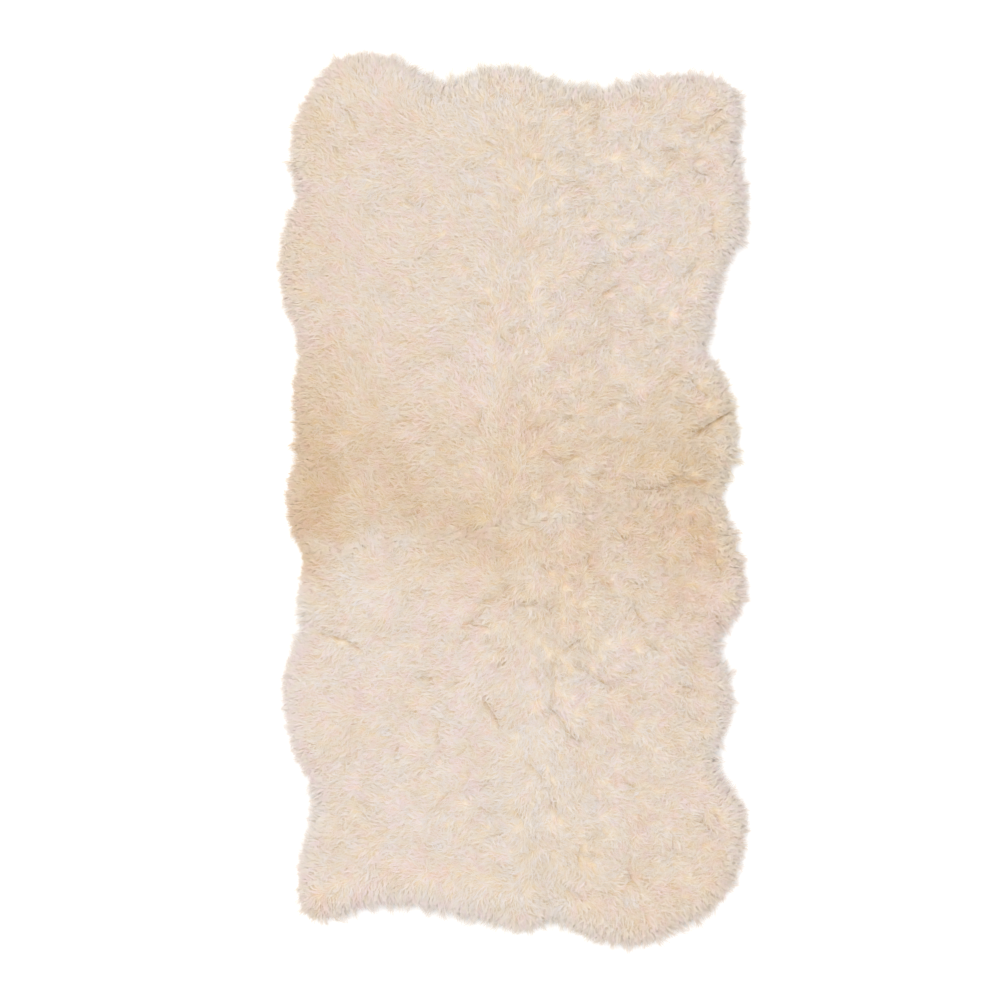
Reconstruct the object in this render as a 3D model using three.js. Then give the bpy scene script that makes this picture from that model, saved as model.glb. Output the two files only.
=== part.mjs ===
// A sheepskin rug: two whole short-wool pelts laid rump to rump and sewn to each other along one
// straight cut across the middle. A pelt is a single piece, a thin tanned hide that lies on the
// floor with its own dense wool standing on it. So each pelt is one closed solid: the hide's
// flat underside, the wool that swells out past the hide's cut edge, and the crown of the pile.
//
// Millimetres. X runs across the rug and Y along it, Z is up, and the origin is on the floor
// under the middle of the rug's box.

import * as THREE from "three";

// Driving dimensions.
const PILE_HEIGHT = 44; // from the floor to the top of the wool, hide included
const SEAM_GAP = 0.3; // between the two pelts along their cut edges
const SEAM_DIP = { depth: 11, width: 46 }; // how the wool sinks towards the seam
const SPINE_DIP = { depth: 5, width: 62 }; // and towards the parting down each animal's back
const CUT_EDGE_REACH = 45; // from a seam's end to where the wool swells out freely

const EDGE_STEPS = 118; // faces round a pelt's free edge
const SEAM_STEPS = 22; // and along its cut edge

// The straight cut that joins the pelts, from the notch in one side to the notch in the other.
const SEAM = [
  { across: -424, along: -106 },
  { across: 417, along: 11 },
];

// Each pelt's free edge, where the wool ends, with a row for each lobe, hollow or nick. across
// is to the right of the rug's middle line, and along is towards its far end. left and right
// start next to the seam, and end runs from left to right. spine is the line of the animal's
// back, and middle the point that the pelt's faces are laid round.
const PELTS = [
  {
    name: "far_pelt",
    towardsEnd: 1,
    colour: 0xe7d6c1,
    middle: { across: 0, along: 410 },
    spine: [
      { across: 5, along: -45 },
      { across: 0, along: 880 },
    ],
    left: [
      { across: -452, along: -52 }, // thigh
      { across: -455, along: 40 },
      { across: -438, along: 66 }, // nick in front of it
      { across: -443, along: 120 },
      { across: -441, along: 156 },
      { across: -450, along: 200 },
      { across: -438, along: 304 }, // flank, drawn in
      { across: -468, along: 410 },
      { across: -476, along: 480 }, // belly
      { across: -468, along: 544 },
      { across: -441, along: 622 }, // nick behind the foreleg
      { across: -452, along: 676 },
      { across: -440, along: 780 },
    ],
    end: [
      { across: -362, along: 894 }, // foreleg
      { across: -250, along: 897 },
      { across: -146, along: 846 }, // hollow beside the neck
      { across: -84, along: 868 },
      { across: -8, along: 882 }, // neck
      { across: 100, along: 848 },
      { across: 176, along: 836 }, // hollow on its other side
      { across: 306, along: 863 },
      { across: 372, along: 861 }, // foreleg
      { across: 426, along: 853 },
    ],
    right: [
      { across: 455, along: 88 },
      { across: 448, along: 192 }, // thigh
      { across: 425, along: 252 },
      { across: 396, along: 300 }, // flank, drawn in
      { across: 406, along: 348 },
      { across: 428, along: 456 },
      { across: 444, along: 494 },
      { across: 466, along: 528 },
      { across: 476, along: 594 }, // belly
      { across: 470, along: 656 },
      { across: 455, along: 718 }, // dent behind the foreleg
      { across: 465, along: 766 },
      { across: 462, along: 812 },
    ],
  },
  {
    name: "near_pelt",
    towardsEnd: -1,
    colour: 0xe9dccb,
    middle: { across: 5, along: -440 },
    spine: [
      { across: 45, along: -45 },
      { across: 72, along: -860 },
    ],
    left: [
      { across: -440, along: -204 }, // thigh
      { across: -429, along: -250 }, // pinch in front of it
      { across: -468, along: -344 }, // belly
      { across: -452, along: -494 },
      { across: -406, along: -598 }, // pinch behind the foreleg
      { across: -426, along: -696 },
      { across: -438, along: -760 },
      { across: -436, along: -812 },
    ],
    end: [
      { across: -420, along: -842 }, // foreleg
      { across: -384, along: -847 },
      { across: -320, along: -826 },
      { across: -240, along: -818 }, // hollow beside the neck
      { across: -40, along: -858 },
      { across: 14, along: -875 }, // neck
      { across: 48, along: -868 },
      { across: 72, along: -853 }, // notch in the neck
      { across: 196, along: -898 }, // foreleg
      { across: 296, along: -890 },
      { across: 342, along: -862 },
      { across: 392, along: -838 },
    ],
    right: [
      { across: 437, along: -28 },
      { across: 473, along: -172 }, // thigh
      { across: 466, along: -204 },
      { across: 423, along: -270 },
      { across: 419, along: -296 }, // pinch in front of it
      { across: 446, along: -372 }, // belly
      { across: 440, along: -452 },
      { across: 412, along: -520 }, // pinch behind the elbow
      { across: 446, along: -590 },
      { across: 470, along: -622 },
      { across: 476, along: -656 }, // elbow
      { across: 442, along: -784 },
    ],
  },
];

// The rounded edge from the hide's cut rim up to the crown: how far each turn lies inside the
// wool's outermost reach, and its height as a share of the wool's height there.
const EDGE_TURNS = [
  { inset: 25, rise: 0 }, // the hide's cut rim, on the floor
  { inset: 12, rise: 0.08 },
  { inset: 3, rise: 0.22 },
  { inset: 0, rise: 0.41 }, // where the wool swells out furthest
  { inset: 5, rise: 0.66 },
  { inset: 19, rise: 0.86 },
  { inset: 50, rise: 0.98 },
];

// Rings across the crown, as shares of the way out from the pelt's middle to the last turn.
const CROWN_RINGS = [0.86, 0.72, 0.58, 0.44, 0.3, 0.16];

// Slow swells that leave the crown as uneven as wool is, each a wave across and along the rug.
const SWELLS = [
  { acrossWave: 340, alongWave: 560, phase: 0.4, height: 1.4 },
  { acrossWave: -250, alongWave: 310, phase: 2.1, height: 1.1 },
  { acrossWave: 190, alongWave: -430, phase: 4.0, height: 0.9 },
];

function placeOf({ across, along }) {
  return new THREE.Vector2(across, along);
}

// How much a trough along a line lowers the wool at a point: all of its depth on the line, and
// smoothly less away from it.
function sinkOf(point, line, { depth, width }) {
  const [from, to] = line.map(placeOf);
  const run = to.sub(from).normalize();
  const distance = run.cross(point.clone().sub(from));
  return depth * Math.exp(-((distance / width) ** 2));
}

// How high the wool stands over a point of the floor.
function pileHeight(point, pelt) {
  const sunk = sinkOf(point, SEAM, SEAM_DIP) + sinkOf(point, pelt.spine, SPINE_DIP);
  let height = PILE_HEIGHT - sunk;
  for (const swell of SWELLS) {
    const turn = 2 * Math.PI * (point.x / swell.acrossWave + point.y / swell.alongWave);
    height += swell.height * Math.sin(turn + swell.phase);
  }
  return height;
}

// A pelt's outline seen from above, anticlockwise: its free edge as one smooth curve, then its
// cut edge. swell is 1 where the wool swells out freely and falls to 0 at the cut edge.
function outlineOf(pelt) {
  const clear = new THREE.Vector2(0, (pelt.towardsEnd * SEAM_GAP) / 2);
  const [seamLeft, seamRight] = SEAM.map((row) => placeOf(row).add(clear));
  const rows = [...pelt.left, ...pelt.end, ...[...pelt.right].reverse()].map(placeOf);
  const knots = [seamLeft, ...rows, seamRight].map(({ x, y }) => new THREE.Vector3(x, y, 0));
  const freeEdge = new THREE.CatmullRomCurve3(knots, false, "centripetal");
  const outline = freeEdge.getSpacedPoints(EDGE_STEPS).map(({ x, y }) => {
    const point = new THREE.Vector2(x, y);
    const reach = Math.min(point.distanceTo(seamLeft), point.distanceTo(seamRight));
    return { point, swell: THREE.MathUtils.smoothstep(reach, 0, CUT_EDGE_REACH) };
  });
  for (let step = 1; step < SEAM_STEPS; step += 1) {
    const point = seamRight.clone().lerp(seamLeft, step / SEAM_STEPS);
    outline.push({ point, swell: 0 });
  }
  return pelt.towardsEnd > 0 ? outline.reverse() : outline;
}

// The pelt as rings of points round its middle, from the underside's rim up over the crown.
function ringsOf(pelt) {
  const middle = placeOf(pelt.middle);
  const outline = outlineOf(pelt);
  const ringAt = (inset, share, rise) =>
    outline.map(({ point, swell }) => {
      const out = point.clone().sub(middle);
      out.setLength((out.length() - inset * swell) * share);
      const place = out.add(middle);
      return new THREE.Vector3(place.x, place.y, rise * pileHeight(place, pelt));
    });
  const turns = EDGE_TURNS.map(({ inset, rise }) => ringAt(inset, 1, rise));
  const lastInset = EDGE_TURNS.at(-1).inset;
  return [...turns, ...CROWN_RINGS.map((share) => ringAt(lastInset, share, 1))];
}

// The rings closed into one surface, with a fan of faces over the crown and one underneath.
function peltGeometry(pelt) {
  const rings = ringsOf(pelt);
  const around = rings[0].length;
  const last = rings.length - 1;
  const middle = placeOf(pelt.middle);
  const under = new THREE.Vector3(middle.x, middle.y, 0);
  const crown = new THREE.Vector3(middle.x, middle.y, pileHeight(middle, pelt));
  const points = [under, ...rings.flat(), crown];
  const at = (ring, step) => 1 + ring * around + (step % around);
  const faces = [];
  for (let step = 0; step < around; step += 1) {
    faces.push(0, at(0, step + 1), at(0, step));
    for (let ring = 0; ring < last; ring += 1) {
      faces.push(at(ring, step), at(ring, step + 1), at(ring + 1, step + 1));
      faces.push(at(ring, step), at(ring + 1, step + 1), at(ring + 1, step));
    }
    faces.push(points.length - 1, at(last, step), at(last, step + 1));
  }
  const geometry = new THREE.BufferGeometry().setFromPoints(points);
  geometry.setIndex(faces);
  geometry.computeVertexNormals();
  return geometry;
}

const rug = new THREE.Group();
for (const pelt of PELTS) {
  const wool = new THREE.MeshStandardMaterial({
    color: pelt.colour,
    roughness: 0.95,
    metalness: 0,
  });
  const mesh = new THREE.Mesh(peltGeometry(pelt), wool);
  mesh.name = pelt.name;
  rug.add(mesh);
}

// The free edges decide where the rug's box ends, so the rug is set with that box on the origin.
const middleOfRug = new THREE.Box3().setFromObject(rug).getCenter(new THREE.Vector3());
rug.position.set(-middleOfRug.x, -middleOfRug.y, 0);

export default rug;
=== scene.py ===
import math

import bmesh
import bpy
import numpy as np
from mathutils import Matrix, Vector, geometry, kdtree


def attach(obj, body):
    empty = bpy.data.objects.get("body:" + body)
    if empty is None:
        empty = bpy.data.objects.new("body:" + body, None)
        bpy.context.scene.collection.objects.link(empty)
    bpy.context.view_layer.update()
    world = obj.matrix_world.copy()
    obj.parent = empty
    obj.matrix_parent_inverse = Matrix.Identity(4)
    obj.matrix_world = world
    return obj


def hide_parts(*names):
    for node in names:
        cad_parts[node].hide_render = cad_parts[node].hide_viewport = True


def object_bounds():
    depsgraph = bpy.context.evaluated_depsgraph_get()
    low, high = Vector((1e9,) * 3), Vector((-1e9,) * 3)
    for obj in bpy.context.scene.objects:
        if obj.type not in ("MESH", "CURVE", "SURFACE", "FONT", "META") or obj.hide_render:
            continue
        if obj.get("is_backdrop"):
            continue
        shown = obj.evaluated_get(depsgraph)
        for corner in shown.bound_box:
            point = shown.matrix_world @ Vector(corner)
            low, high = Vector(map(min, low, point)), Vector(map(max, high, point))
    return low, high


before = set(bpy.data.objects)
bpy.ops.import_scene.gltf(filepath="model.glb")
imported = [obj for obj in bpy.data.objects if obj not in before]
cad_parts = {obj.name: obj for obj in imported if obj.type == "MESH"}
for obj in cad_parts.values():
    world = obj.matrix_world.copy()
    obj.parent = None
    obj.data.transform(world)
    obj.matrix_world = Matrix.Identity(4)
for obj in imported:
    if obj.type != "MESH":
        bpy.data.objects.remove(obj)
cad_low, cad_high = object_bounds()


# ---------------------------------------------------------------------------------------
# The floor. A plain sheet of matt white card that the rug is laid on, wide enough that its
# far edge is never seen.
# ---------------------------------------------------------------------------------------
FLOOR_SIDE = 120.0
FLOOR_TONE = (0.93, 0.93, 0.93, 1.0)


def new_material(name, roughness, specular, sheen=0.0):
    """A new material, with its Principled shader and its tree of nodes."""
    material = bpy.data.materials.new(name)
    material.use_nodes = True
    shader = material.node_tree.nodes["Principled BSDF"]
    shader.inputs["Roughness"].default_value = roughness
    shader.inputs["Specular IOR Level"].default_value = specular
    shader.inputs["Sheen Weight"].default_value = sheen
    return material, shader, material.node_tree


def mesh_object(name, points, faces, material):
    """An object whose faces all have the same number of corners, built in one go."""
    mesh = bpy.data.meshes.new(name)
    points = np.asarray(points, dtype=np.float32)
    faces = np.asarray(faces, dtype=np.int32)
    corners = faces.shape[1]
    mesh.vertices.add(len(points))
    mesh.vertices.foreach_set("co", points.ravel())
    mesh.loops.add(faces.size)
    mesh.loops.foreach_set("vertex_index", faces.ravel())
    mesh.polygons.add(len(faces))
    mesh.polygons.foreach_set("loop_start", np.arange(0, faces.size, corners, dtype=np.int32))
    mesh.update(calc_edges=True)
    mesh.shade_smooth()
    mesh.materials.append(material)
    piece = bpy.data.objects.new(name, mesh)
    bpy.context.scene.collection.objects.link(piece)
    return piece


card, card_shader, _ = new_material("floor_card", roughness=0.9, specular=0.1)
card_shader.inputs["Base Color"].default_value = FLOOR_TONE

half = FLOOR_SIDE / 2
floor_corners = [(-half, -half, 0), (half, -half, 0), (half, half, 0), (-half, half, 0)]
floor = mesh_object("floor", floor_corners, [(0, 1, 2, 3)], card)
floor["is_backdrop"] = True


# ---------------------------------------------------------------------------------------
# The light. A white room all round, and one very wide, soft lamp overhead, a little to the
# far left, that gives the wool its low relief.
# ---------------------------------------------------------------------------------------
ROOM_STRENGTH = 1.255
LAMP_STRENGTH = 1.17
LAMP_SPREAD = math.radians(70)
LAMP_FROM = (-0.36, 0.36, 1.0)

room = bpy.data.worlds.new("room")
room.use_nodes = True
room_light = room.node_tree.nodes["Background"]
room_light.inputs["Color"].default_value = (1, 1, 1, 1)
room_light.inputs["Strength"].default_value = ROOM_STRENGTH
bpy.context.scene.world = room

lamp_light = bpy.data.lights.new("lamp", "SUN")
lamp_light.angle = LAMP_SPREAD
lamp_light.energy = LAMP_STRENGTH
lamp = bpy.data.objects.new("lamp", lamp_light)
lamp.rotation_mode = "QUATERNION"
lamp.rotation_quaternion = Vector(LAMP_FROM).to_track_quat("Z", "Y")
bpy.context.scene.collection.objects.link(lamp)

bpy.context.scene.view_settings.view_transform = "Standard"


# ---------------------------------------------------------------------------------------
# The camera. It looks straight down at the rug from high up, with a long lens, so that the
# sides of the wool show equally little all round. The rug lies a little right of its middle.
# ---------------------------------------------------------------------------------------
VIEW_ACROSS = 2.015  # what the camera takes in, at the height where the wool is widest
WIDEST_RISE = 0.41  # that height, as a share of the rug's own
VIEW_LEFT_OF_RUG = 0.027
VIEW_LENS = 110  # in millimetres
VIEW_REACH = 100  # how far the camera sees

rug_middle = (cad_low + cad_high) / 2
widest_height = WIDEST_RISE * (cad_high.z - cad_low.z)

camera_data = bpy.data.cameras.new("camera")
camera_data.lens = VIEW_LENS
camera_data.clip_end = VIEW_REACH
camera_height = VIEW_ACROSS / camera_data.sensor_width * VIEW_LENS
camera = bpy.data.objects.new("camera", camera_data)
camera.location = (
    rug_middle.x - VIEW_LEFT_OF_RUG,
    rug_middle.y,
    widest_height + camera_height,
)
bpy.context.scene.collection.objects.link(camera)
bpy.context.scene.camera = camera


# ---------------------------------------------------------------------------------------
# The two hides. Each is a whole sheepskin tanned with its wool on: supple, creamy leather
# about 2.5 mm thick, its flesh side rubbed to a nap. They lie flat, flesh side down, and
# rise a little where the seam's thread passes under them.
# ---------------------------------------------------------------------------------------
HIDE_THICKNESS = 0.0025
HIDE_UNEVENNESS = 0.12  # how much the thickness varies, as a share of it
HIDE_UNEVENNESS_SIZE = 0.05  # and over what distance
HIDE_COCKLE = 0.0005  # how far the tanned sheet leaves the floor here and there
HIDE_COCKLE_SIZE = 0.06
HIDE_STEP = 0.016  # between points over the hide
RIM_STEP = 0.007  # and round its cut edge
SEAM_GAP = 0.006  # a rim that is nearer than this to the other hide's is part of the seam
SEAM_LIFT = 0.0012  # room for the thread under the hide
SEAM_LIFT_REACH = 0.012
HIDE_CREAM = (0.74, 0.62, 0.47, 1.0)
HIDE_STAIN = (0.60, 0.46, 0.31, 1.0)
NAP_CLOUD_SIZE = 0.09
NAP_SIZE = 0.0016
NAP_HEIGHT = 0.0004
NAP_ROUGHNESS = (0.72, 0.95)  # where the nap lies down, and where it stands up

NOISE_KNOTS = 97  # random values each way, after which a noise repeats
NOISE_SHIFT = (41.3, 47.7)  # keeps the lines between them off the rug's middle


def smooth(value, start, end):
    """0 before start, 1 after end, and an even turn between them."""
    t = np.clip((np.asarray(value) - start) / (end - start), 0, 1)
    return t * t * (3 - 2 * t)


def soft_noise(across, along, size, seed):
    """Smooth random values from -1 to 1 that turn over about every size metres."""
    knots = np.random.default_rng(seed).uniform(-1, 1, (NOISE_KNOTS, NOISE_KNOTS))
    u = np.asarray(across) / size + NOISE_SHIFT[0]
    v = np.asarray(along) / size + NOISE_SHIFT[1]
    i = np.floor(u).astype(int)
    j = np.floor(v).astype(int)
    s = smooth(u - i, 0, 1)
    t = smooth(v - j, 0, 1)
    left, right = i % NOISE_KNOTS, (i + 1) % NOISE_KNOTS
    row, next_row = j % NOISE_KNOTS, (j + 1) % NOISE_KNOTS
    near = knots[left, row] * (1 - s) + knots[right, row] * s
    far = knots[left, next_row] * (1 - s) + knots[right, next_row] * s
    return near * (1 - t) + far * t


def cut_rim(node):
    """The cut edge of a pelt's hide, round the flat underside of its solid, anticlockwise."""
    solid = bmesh.new()
    solid.from_mesh(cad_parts[node].data)
    bmesh.ops.remove_doubles(solid, verts=solid.verts, dist=1e-6)
    underside = {f for f in solid.faces if all(v.co.z < 1e-5 for v in f.verts)}
    following = {}
    for face in underside:
        for loop in face.loops:
            if any(f not in underside for f in loop.edge.link_faces):
                following[loop.link_loop_next.vert] = loop.vert
    first = min(following, key=lambda vert: vert.co[:])
    rim = [first]
    while following[rim[-1]] is not first:
        rim.append(following[rim[-1]])
    rim = np.array([v.co.to_2d()[:] for v in rim])
    solid.free()
    return rim


def even_loop(loop, step):
    """The same loop with points spaced evenly, about a step apart."""
    closed = np.vstack([loop, loop[:1]])
    run = np.concatenate([[0], np.cumsum(np.linalg.norm(np.diff(closed, axis=0), axis=1))])
    stations = np.linspace(0, run[-1], int(round(run[-1] / step)), endpoint=False)
    return np.column_stack([np.interp(stations, run, closed[:, k]) for k in range(2)])


def tree_of(points):
    """A search tree over points of the floor plan."""
    tree = kdtree.KDTree(len(points))
    for index, (x, y) in enumerate(points):
        tree.insert((x, y, 0), index)
    tree.balance()
    return tree


def nearest(points, tree):
    """For each point, the tree's nearest point: its index and how far off it is."""
    found = [tree.find((x, y, 0))[1:] for x, y in points]
    return np.array([f[0] for f in found]), np.array([f[1] for f in found])


def scattered(low, high, step, rng, jitter=0.32):
    """Points over a rectangle in staggered rows about a step apart, each moved a little."""
    row_gap = step * math.sqrt(3) / 2
    rows = int((high[1] - low[1]) / row_gap) + 2
    columns = int((high[0] - low[0]) / step) + 2
    i, j = np.meshgrid(np.arange(columns), np.arange(rows))
    x = low[0] + (i + 0.5 * (j % 2)) * step
    y = low[1] + j * row_gap
    points = np.column_stack([x.ravel(), y.ravel()])
    return points + rng.uniform(-jitter, jitter, points.shape) * step


def filled(rim, step, rng):
    """Points and triangles that fill a rim: the rim's own, and others about a step apart."""
    inner = scattered(rim.min(axis=0), rim.max(axis=0), step, rng)
    _, clear = nearest(inner, tree_of(rim))
    inner = inner[clear > 0.5 * step]
    points = [Vector(p) for p in np.vstack([rim, inner])]
    edge = list(range(len(rim)))
    made = geometry.delaunay_2d_cdt(points, [], [edge], 1, 1e-7)
    used, faces = np.unique(np.array(made[2]), return_inverse=True)
    return np.array([p[:] for p in made[0]])[used], faces.reshape(-1, 3)


def closed_body(rim_count, over, over_faces, under, under_faces):
    """Points and triangles of a body between two sheets that start with the same rim."""
    here = np.arange(rim_count)
    after = (here + 1) % rim_count
    below = here + len(over)
    below_after = after + len(over)
    wall = np.column_stack([here, below, below_after])
    other_wall = np.column_stack([here, below_after, after])
    faces = np.vstack([over_faces, under_faces[:, ::-1] + len(over), wall, other_wall])
    return np.vstack([over, under]), faces


def shade_group(name, inputs, outputs):
    """An empty node group, with its named inputs and outputs."""
    group = bpy.data.node_groups.new(name, "ShaderNodeTree")
    for label, kind, value in inputs:
        socket = group.interface.new_socket(label, in_out="INPUT", socket_type=kind)
        socket.default_value = value
    for label, kind in outputs:
        group.interface.new_socket(label, in_out="OUTPUT", socket_type=kind)
    return group, group.nodes.new("NodeGroupInput"), group.nodes.new("NodeGroupOutput")


def placed_group(tree, group):
    """A node group's effect, placed among a material's nodes."""
    node = tree.nodes.new("ShaderNodeGroup")
    node.node_tree = group
    return node


def noise_node(tree, size, detail=2.0):
    """A noise over the object's own metres, with features of about the given size."""
    place = tree.nodes.new("ShaderNodeTexCoord")
    mapping = tree.nodes.new("ShaderNodeMapping")
    mapping.inputs["Scale"].default_value = (1 / size, 1 / size, 1 / size)
    noise = tree.nodes.new("ShaderNodeTexNoise")
    noise.inputs["Scale"].default_value = 1.0
    noise.inputs["Detail"].default_value = detail
    tree.links.new(place.outputs["Object"], mapping.inputs["Vector"])
    tree.links.new(mapping.outputs["Vector"], noise.inputs["Vector"])
    return noise.outputs["Fac"]


def ramp_node(tree, value, stops):
    """A colour ramp over a value, with stops of (place, colour)."""
    ramp = tree.nodes.new("ShaderNodeValToRGB")
    while len(ramp.color_ramp.elements) < len(stops):
        ramp.color_ramp.elements.new(0.5)
    for element, (place, colour) in zip(ramp.color_ramp.elements, stops):
        element.position = place
        element.color = (*colour, 1)
    tree.links.new(value, ramp.inputs["Fac"])
    return ramp.outputs["Color"]


def range_node(tree, value, low, high):
    """A value that runs from 0 to 1, made to run from low to high."""
    scaled = tree.nodes.new("ShaderNodeMapRange")
    scaled.inputs["To Min"].default_value = low
    scaled.inputs["To Max"].default_value = high
    tree.links.new(value, scaled.inputs["Value"])
    return scaled


def mix_node(tree, first, second, blend_type="MIX"):
    """A mix of two colours, all of the way to the second unless its factor is linked."""
    mix = tree.nodes.new("ShaderNodeMix")
    mix.data_type = "RGBA"
    mix.blend_type = blend_type
    mix.inputs["Factor"].default_value = 1.0
    tree.links.new(first, mix.inputs["A"])
    tree.links.new(second, mix.inputs["B"])
    return mix


def bump_node(tree, height, distance, strength=1.0):
    """A bump of a surface, as high as distance in metres where the height is 1."""
    bump = tree.nodes.new("ShaderNodeBump")
    bump.inputs["Strength"].default_value = strength
    bump.inputs["Distance"].default_value = distance
    tree.links.new(height, bump.inputs["Height"])
    return bump


# The nap that rubbing raises on leather: cloudy colour, and a fine matted surface.
nap_group, nap_in, nap_out = shade_group(
    "rubbed nap",
    [("Clean", "NodeSocketColor", (1, 1, 1, 1)), ("Stained", "NodeSocketColor", (1, 1, 1, 1))],
    [("Color", "NodeSocketColor"), ("Roughness", "NodeSocketFloat"), ("Height", "NodeSocketFloat")],
)
nap_clouds = noise_node(nap_group, NAP_CLOUD_SIZE, detail=5)
nap_mask = ramp_node(nap_group, nap_clouds, [(0.35, (0, 0, 0)), (0.75, (1, 1, 1))])
nap_mix = mix_node(nap_group, nap_in.outputs["Clean"], nap_in.outputs["Stained"])
nap_rough = range_node(nap_group, nap_clouds, *NAP_ROUGHNESS)
nap_group.links.new(nap_mask, nap_mix.inputs["Factor"])
nap_group.links.new(nap_mix.outputs["Result"], nap_out.inputs["Color"])
nap_group.links.new(nap_rough.outputs["Result"], nap_out.inputs["Roughness"])
nap_group.links.new(noise_node(nap_group, NAP_SIZE, detail=3), nap_out.inputs["Height"])

leather, leather_shader, leather_tree = new_material(
    "napped_leather", roughness=0.85, specular=0.2, sheen=0.3
)
leather_nap = placed_group(leather_tree, nap_group)
leather_nap.inputs["Clean"].default_value = HIDE_CREAM
leather_nap.inputs["Stained"].default_value = HIDE_STAIN
leather_bump = bump_node(leather_tree, leather_nap.outputs["Height"], NAP_HEIGHT, strength=0.5)
leather_tree.links.new(leather_nap.outputs["Color"], leather_shader.inputs["Base Color"])
leather_tree.links.new(leather_nap.outputs["Roughness"], leather_shader.inputs["Roughness"])
leather_tree.links.new(leather_bump.outputs["Normal"], leather_shader.inputs["Normal"])

PELTS = ["far", "near"]
rims = {pelt: even_loop(cut_rim(f"{pelt}_pelt"), RIM_STEP) for pelt in PELTS}
other_rim = {"far": tree_of(rims["near"]), "near": tree_of(rims["far"])}
on_seam = {pelt: nearest(rims[pelt], other_rim[pelt])[1] < SEAM_GAP for pelt in PELTS}
seam_points = rims["near"][on_seam["near"]]
seam_points = seam_points[np.argsort(seam_points[:, 0])]
seam_tree = tree_of(seam_points)

hides = {}
for seed, pelt in enumerate(PELTS):
    rng = np.random.default_rng(100 + seed)
    rim = rims[pelt]
    plan, faces = filled(rim, HIDE_STEP, rng)
    x, y = plan.T
    _, seam = nearest(plan, seam_tree)
    lift = SEAM_LIFT * (1 - smooth(seam, 0, SEAM_LIFT_REACH))
    cockle = HIDE_COCKLE * (0.5 + 0.5 * soft_noise(x, y, HIDE_COCKLE_SIZE, 7 + seed))
    under = lift + cockle * (1 - lift / SEAM_LIFT)
    uneven = HIDE_UNEVENNESS * soft_noise(x, y, HIDE_UNEVENNESS_SIZE, 9 + seed)
    over = under + HIDE_THICKNESS * (1 + uneven)
    over = np.column_stack([plan, over])
    under = np.column_stack([plan, under])
    body = closed_body(len(rim), over, faces, under, faces)
    hides[pelt] = mesh_object(f"{pelt}_hide", *body, leather)
    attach(hides[pelt], "root")


# ---------------------------------------------------------------------------------------
# The seam. The two rumps are cut to one straight line and whipped together edge to edge
# with strong waxed linen thread, one slanting stitch after another, through both hides.
# ---------------------------------------------------------------------------------------
STITCH_PITCH = 0.0045
STITCH_REACH = 0.0034  # from the cut edges to the needle's holes
STITCH_LEAN = 0.0007  # how far a stitch slants to either side
STITCH_SQUARENESS = 2.2  # how sharply it turns over the hide's faces
STITCHES_SHORT = 3  # of the seam's whole length, half of them at each end
THREAD_WIDTH = 0.0008
THREAD_CLEAR = 0.45  # from a hide's face to the thread's middle, as a share of its width
THREAD_TURN_POINTS = 8
THREAD_SIDES = 5
THREAD_TONE = (0.70, 0.63, 0.52)
THREAD_SHADE = 0.78  # how dark the grooves between its fibres are
THREAD_FIBRE_SIZE = 0.0006
THREAD_FIBRE_HEIGHT = 0.0001


def unit(vectors):
    """Vectors with the same direction and a length of 1, or of 0 where they have none."""
    return vectors / (np.linalg.norm(vectors, axis=-1, keepdims=True) + 1e-9)


def tube(path, radius, sides):
    """Points and quads of a thin tube along a path, with open ends."""
    tangent = np.gradient(path, axis=0)
    tangent /= np.linalg.norm(tangent, axis=1, keepdims=True)
    side = unit(np.cross(tangent, (0, 0, 1)))
    up = np.cross(side, tangent)
    angle = np.linspace(0, 2 * math.pi, sides, endpoint=False)[None, :, None]
    ring = radius * (np.cos(angle) * side[:, None] + np.sin(angle) * up[:, None])
    points = (path[:, None] + ring).reshape(-1, 3)
    step, turn = np.meshgrid(np.arange(len(path) - 1), np.arange(sides), indexing="ij")
    after = (turn + 1) % sides
    quads = np.stack([step * sides + turn, step * sides + after], axis=-1)
    quads = np.concatenate([quads, quads[..., ::-1] + sides], axis=-1)
    return points, quads.reshape(-1, 4)


seam_ends = seam_points[[0, -1]]
seam_length = np.linalg.norm(seam_ends[1] - seam_ends[0])
seam_way = (seam_ends[1] - seam_ends[0]) / seam_length
seam_across = np.array([-seam_way[1], seam_way[0]])
stitches = int(seam_length / STITCH_PITCH) - STITCHES_SHORT
stitch = np.linspace(0, stitches, stitches * THREAD_TURN_POINTS + 1)
angle = 2 * math.pi * stitch
run = (stitch + STITCHES_SHORT / 2) * STITCH_PITCH + STITCH_LEAN * np.sin(angle)
reach = STITCH_REACH * np.cos(angle)
thread_plan = seam_ends[0] + run[:, None] * seam_way + reach[:, None] * seam_across
thread_middle = SEAM_LIFT + HIDE_THICKNESS / 2
thread_rise = HIDE_THICKNESS / 2 + THREAD_WIDTH * THREAD_CLEAR
turnover = np.tanh(STITCH_SQUARENESS * np.sin(angle))
thread_height = thread_middle + thread_rise * turnover / np.tanh(STITCH_SQUARENESS)
thread_path = np.column_stack([thread_plan, thread_height])

linen, linen_shader, linen_tree = new_material("waxed_linen", roughness=0.55, specular=0.4)
linen_fibres = noise_node(linen_tree, THREAD_FIBRE_SIZE, detail=3)
linen_groove = tuple(THREAD_SHADE * c for c in THREAD_TONE)
linen_tone = ramp_node(linen_tree, linen_fibres, [(0.3, linen_groove), (0.7, THREAD_TONE)])
linen_bump = bump_node(linen_tree, linen_fibres, THREAD_FIBRE_HEIGHT, strength=0.6)
linen_tree.links.new(linen_tone, linen_shader.inputs["Base Color"])
linen_tree.links.new(linen_bump.outputs["Normal"], linen_shader.inputs["Normal"])

thread_body = tube(thread_path, THREAD_WIDTH / 2, THREAD_SIDES)
seam_thread = mesh_object("seam_thread", *thread_body, linen)
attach(seam_thread, "root")


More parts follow.
